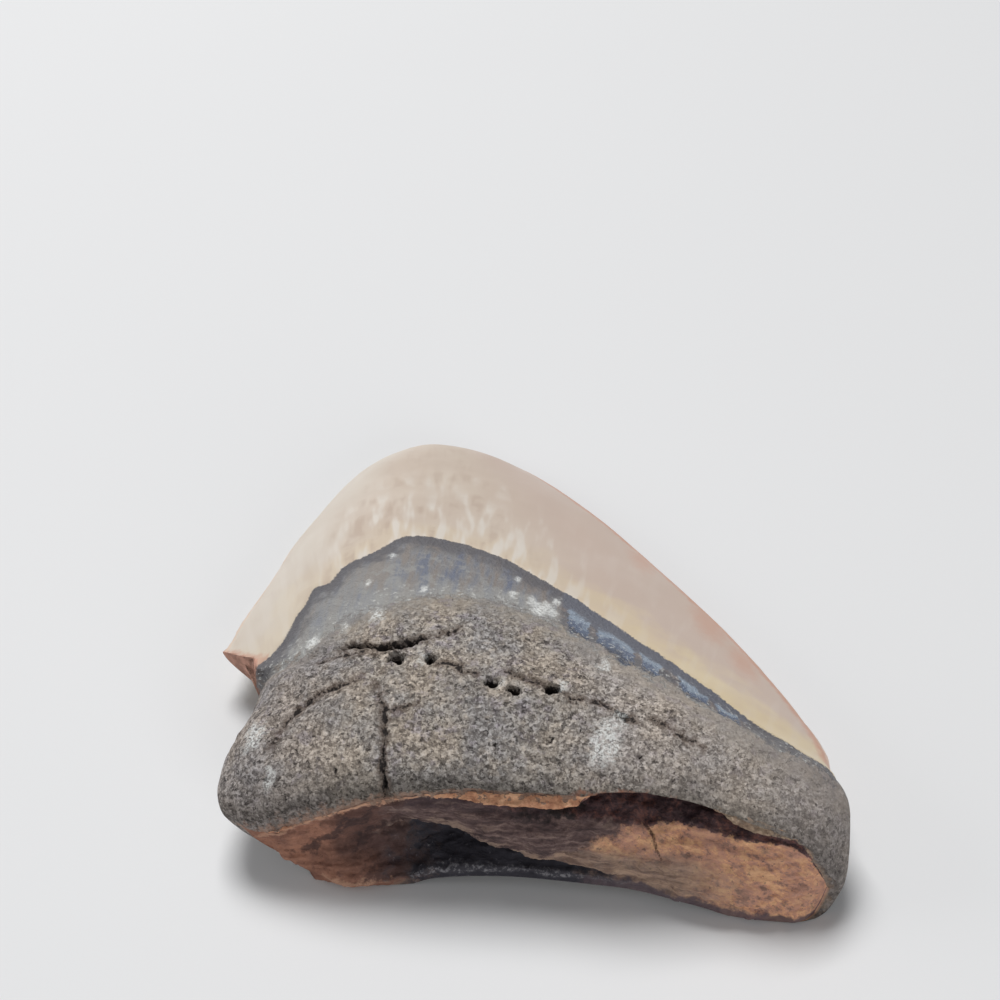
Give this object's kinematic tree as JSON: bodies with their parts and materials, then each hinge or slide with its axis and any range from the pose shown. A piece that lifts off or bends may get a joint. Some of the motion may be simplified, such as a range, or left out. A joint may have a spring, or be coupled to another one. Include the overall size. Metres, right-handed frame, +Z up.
{
  "type": "megalodon tooth",
  "caption": "Fossil megalodon tooth lying on its flat face: pale enamel crown, dark bourrelet, sandy root with a broken base.",
  "frame": {"origin": "centre of the bounding box, on the surface that the tooth lies on", "axes": "+Z up out of the domed lingual face, +Y from the root to the tip, +X across the root towards the longer cutting edge"},
  "size_m": [0.1104, 0.1126, 0.0275],
  "materials": {
    "fossil": "rough sandy root, satin crown"
  },
  "bodies": {
    "root": {"tooth": "fossil"}
  },
  "joints": []
}
